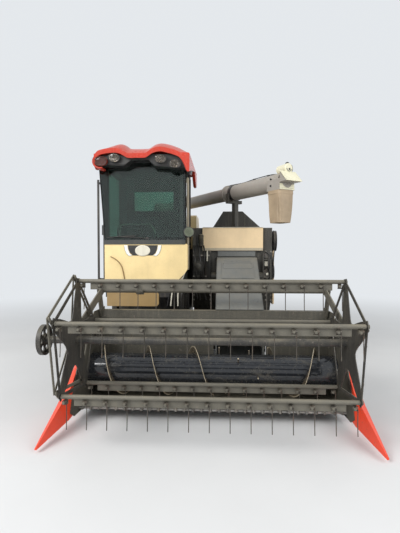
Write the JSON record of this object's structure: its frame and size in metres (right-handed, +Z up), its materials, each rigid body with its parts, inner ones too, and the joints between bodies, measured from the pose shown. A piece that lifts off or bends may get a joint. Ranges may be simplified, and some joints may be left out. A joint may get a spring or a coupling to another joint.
{
  "type": "combine harvester",
  "caption": "Full-feed combine harvester on rubber crawler tracks, with a cab, a lifting header with a tined pick-up reel, a threshing unit, a grain tank and a swinging unloading auger.",
  "frame": {"origin": "on the ground, under the middle of the whole machine", "axes": "+Z up, the machine's front faces -Y, its left side is +X"},
  "size_m": [2.66, 5.2371, 2.805],
  "materials": {
    "black_frame": "worn black paint",
    "track_rubber": "dusty black rubber",
    "wheel_iron": "rough, dusty",
    "cab_frame": "satin charcoal paint",
    "green_glass": "green tinted glass",
    "red_roof": "glossy red",
    "lamp_plastic": "black",
    "seat_cloth": "black woven cloth",
    "cream_panel": "satin cream paint",
    "belt_rubber": "black belts on black pulleys",
    "grey_body": "dark grey paint",
    "tube_grey": "dusty grey-beige paint",
    "sleeve_plastic": "dusty beige",
    "cylinder_black": "black paint",
    "rod_chrome": "polished",
    "header_paint": "dusty dark paint",
    "divider_red": "worn orange-red paint",
    "knife_steel": "worn steel",
    "reel_steel": "dusty worn paint"
  },
  "bodies": {
    "chassis": {"chassis_frame": "black_frame", "left_track": "track_rubber", "right_track": "track_rubber", "track_wheels": "wheel_iron", "transmission": "black_frame", "engine": "wheel_iron", "engine_housing": "black_frame", "cab_floor": "black_frame", "cab_shell": "cab_frame", "cab_glass": "green_glass", "cab_roof": "red_roof", "roof_lamps": "lamp_plastic", "seat": "seat_cloth", "controls": "lamp_plastic", "handrails": "black_frame", "thresher_body": "grey_body", "cover_panels": "cream_panel", "belt_drive": "belt_rubber", "grain_tank": "cream_panel", "straw_hood": "grey_body"},
    "cab_door": {"cab_door": "cab_frame", "door_glass": "green_glass"},
    "threshing_cover": {"threshing_cover": "grey_body"},
    "auger_column": {"auger_column": "tube_grey"},
    "auger_boom": {"auger_tube": "tube_grey", "spout_sleeve": "sleeve_plastic"},
    "auger_barrel": {"auger_barrel": "cylinder_black"},
    "auger_rod": {"auger_rod": "rod_chrome"},
    "header": {"feeder_house": "grey_body", "header_frame": "header_paint", "crop_dividers": "divider_red", "cutter_bar": "knife_steel"},
    "header_auger": {"header_auger": "black_frame"},
    "header_barrel": {"header_barrel": "cylinder_black"},
    "header_rod": {"header_rod": "rod_chrome"},
    "reel_arms": {"reel_arms": "header_paint"},
    "reel": {"reel_rotor": "reel_steel"},
    "eccentric_ring": {"eccentric_ring": "reel_steel"},
    "tine_bar_1": {"tine_bar_1": "reel_steel"},
    "tine_bar_2": {"tine_bar_2": "reel_steel"},
    "tine_bar_3": {"tine_bar_3": "reel_steel"},
    "tine_bar_4": {"tine_bar_4": "reel_steel"},
    "tine_bar_5": {"tine_bar_5": "reel_steel"},
    "reel_barrels": {"reel_barrels": "cylinder_black"},
    "reel_rods": {"reel_rods": "rod_chrome"}
  },
  "joints": [
    {"name": "header_lift", "type": "hinge", "parent": "chassis", "child": "header", "pos_m": [0.32, -0.2, 1.2], "axis": [-1, 0, 0], "range_deg": [0, 22]},
    {"name": "header_barrel_tilt", "type": "hinge", "parent": "chassis", "child": "header_barrel", "pos_m": [0.12, -0.38, 0.245], "axis": [-1, 0, 0], "range_deg": [0, 25]},
    {"name": "header_rod_slide", "type": "slide", "parent": "header_barrel", "child": "header_rod", "axis": [0, -1, 0.0086], "range_m": [0, 0.39]},
    {"name": "reel_lift", "type": "hinge", "parent": "header", "child": "reel_arms", "pos_m": [0.04, -1.23, 1.12], "axis": [-1, 0, 0], "range_deg": [0, 25]},
    {"name": "reel_barrels_tilt", "type": "hinge", "parent": "header", "child": "reel_barrels", "pos_m": [0.04, -1.38, 0.66], "axis": [-1, 0, 0], "range_deg": [-1, 12]},
    {"name": "reel_rods_slide", "type": "slide", "parent": "reel_barrels", "child": "reel_rods", "axis": [0, -0.6247, 0.7809], "range_m": [0, 0.18]},
    {"name": "reel_spin", "type": "hinge", "parent": "reel_arms", "child": "reel", "pos_m": [0.04, -2.122, 0.782], "axis": [-1, 0, 0], "continuous": true},
    {"name": "eccentric_spin", "type": "hinge", "parent": "reel_arms", "child": "eccentric_ring", "pos_m": [-1.072, -2.167, 0.822], "axis": [-1, 0, 0], "continuous": true},
    {"name": "tine_bar_1_turn", "type": "hinge", "parent": "reel", "child": "tine_bar_1", "pos_m": [0.04, -2.55795, 0.98994], "axis": [-1, 0, 0], "continuous": true},
    {"name": "tine_bar_2_turn", "type": "hinge", "parent": "reel", "child": "tine_bar_2", "pos_m": [0.04, -2.05896, 1.26087], "axis": [-1, 0, 0], "continuous": true},
    {"name": "tine_bar_3_turn", "type": "hinge", "parent": "reel", "child": "tine_bar_3", "pos_m": [0.04, -1.64709, 0.87002], "axis": [-1, 0, 0], "continuous": true},
    {"name": "tine_bar_4_turn", "type": "hinge", "parent": "reel", "child": "tine_bar_4", "pos_m": [0.04, -1.89153, 0.35753], "axis": [-1, 0, 0], "continuous": true},
    {"name": "tine_bar_5_turn", "type": "hinge", "parent": "reel", "child": "tine_bar_5", "pos_m": [0.04, -2.45447, 0.43164], "axis": [-1, 0, 0], "continuous": true},
    {"name": "header_auger_spin", "type": "hinge", "parent": "header", "child": "header_auger", "pos_m": [0.04, -1.42, 0.345], "axis": [-1, 0, 0], "continuous": true},
    {"name": "auger_swing", "type": "hinge", "parent": "chassis", "child": "auger_column", "pos_m": [-0.95, 2.01, 0.9], "axis": [0, 0, 1], "range_deg": [0, 190]},
    {"name": "auger_lift", "type": "hinge", "parent": "auger_column", "child": "auger_boom", "pos_m": [-0.95, 2.01, 2.3], "axis": [-0.8406, -0.5417, 0], "range_deg": [0, 35]},
    {"name": "auger_barrel_tilt", "type": "hinge", "parent": "auger_column", "child": "auger_barrel", "pos_m": [-0.86874, 1.88392, 1.64], "axis": [-0.8406, -0.5417, 0], "range_deg": [-1, 18]},
    {"name": "auger_rod_slide", "type": "slide", "parent": "auger_barrel", "child": "auger_rod", "axis": [0.326, -0.5059, 0.7986], "range_m": [0, 0.3]},
    {"name": "cab_door_hinge", "type": "hinge", "parent": "chassis", "child": "cab_door", "pos_m": [-1.29, 0.4, 1.9], "axis": [0, 0, -1], "range_deg": [0, 85]},
    {"name": "threshing_cover_hinge", "type": "hinge", "parent": "chassis", "child": "threshing_cover", "pos_m": [0.686, 1.35, 1.841], "axis": [0, 1, 0], "range_deg": [0, 65]}
  ],
  "couplings": [
    {"joint": "tine_bar_1_turn", "follows": "reel_spin", "ratio": -1},
    {"joint": "tine_bar_2_turn", "follows": "reel_spin", "ratio": -1},
    {"joint": "tine_bar_3_turn", "follows": "reel_spin", "ratio": -1},
    {"joint": "tine_bar_4_turn", "follows": "reel_spin", "ratio": -1},
    {"joint": "tine_bar_5_turn", "follows": "reel_spin", "ratio": -1},
    {"joint": "header_barrel_tilt", "follows": "header_lift", "ratio": 1.02},
    {"joint": "header_rod_slide", "follows": "header_lift", "m_per_rad": 0.9658},
    {"joint": "reel_barrels_tilt", "follows": "reel_lift", "ratio": 0.3195},
    {"joint": "reel_rods_slide", "follows": "reel_lift", "m_per_rad": 0.3893},
    {"joint": "auger_barrel_tilt", "follows": "auger_lift", "ratio": 0.3995},
    {"joint": "auger_rod_slide", "follows": "auger_lift", "m_per_rad": 0.4718},
    {"joint": "eccentric_spin", "follows": "reel_spin", "ratio": 1}
  ]
}
